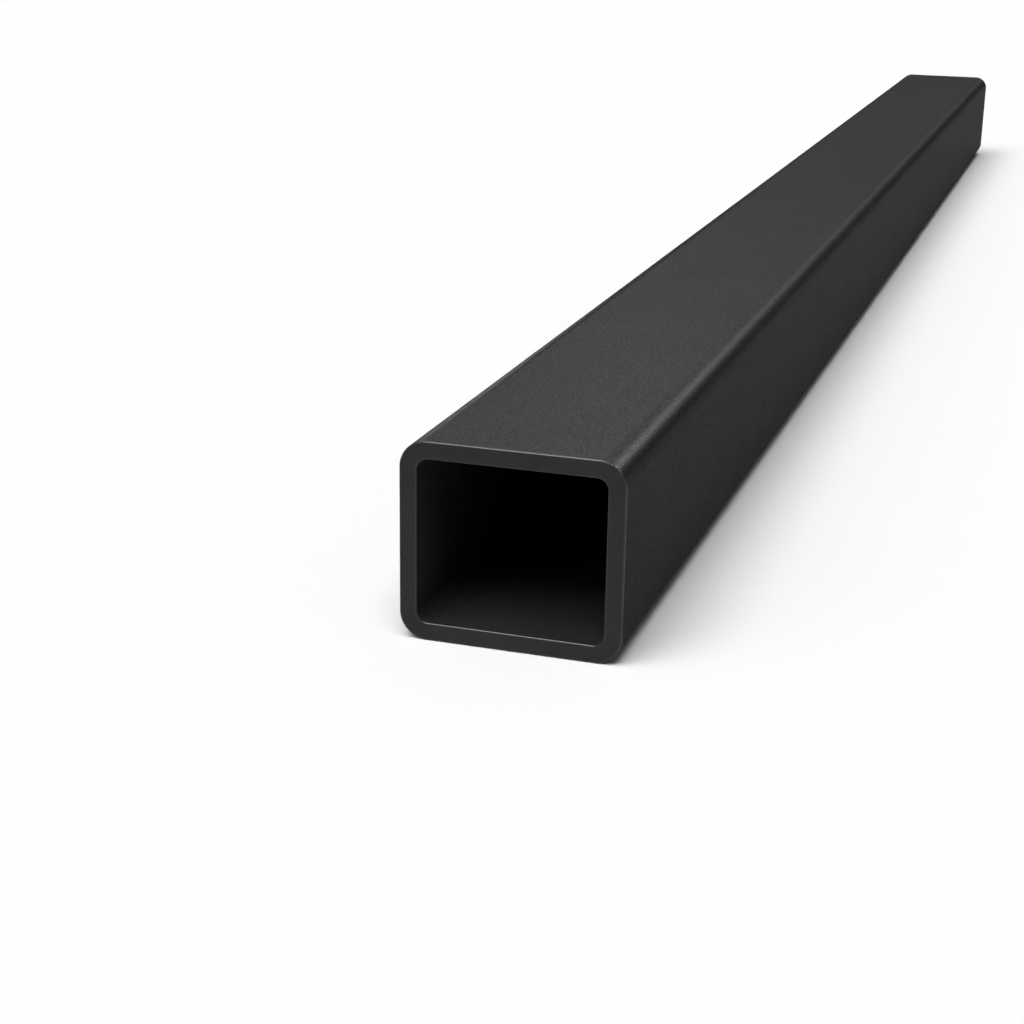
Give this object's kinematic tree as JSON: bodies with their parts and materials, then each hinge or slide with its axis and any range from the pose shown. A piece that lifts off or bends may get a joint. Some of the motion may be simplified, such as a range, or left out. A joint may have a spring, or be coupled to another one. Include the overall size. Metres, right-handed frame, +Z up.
{
  "type": "pvc box section",
  "caption": "Straight length of hollow rectangular plastic box section with rounded corners, open at both ends, for framing, trim and ducting.",
  "frame": {"origin": "middle of the length, on the centre line of the face that the section rests on", "axes": "+Y along the length, towards the end away from the picture's viewer; +X across the wider side of the section; +Z up"},
  "size_m": [0.06, 1, 0.054],
  "materials": {
    "black_pvc": "satin extruded skin with a fine grain, smooth cut ends"
  },
  "bodies": {
    "root": {"box_section": "black_pvc"}
  },
  "joints": []
}
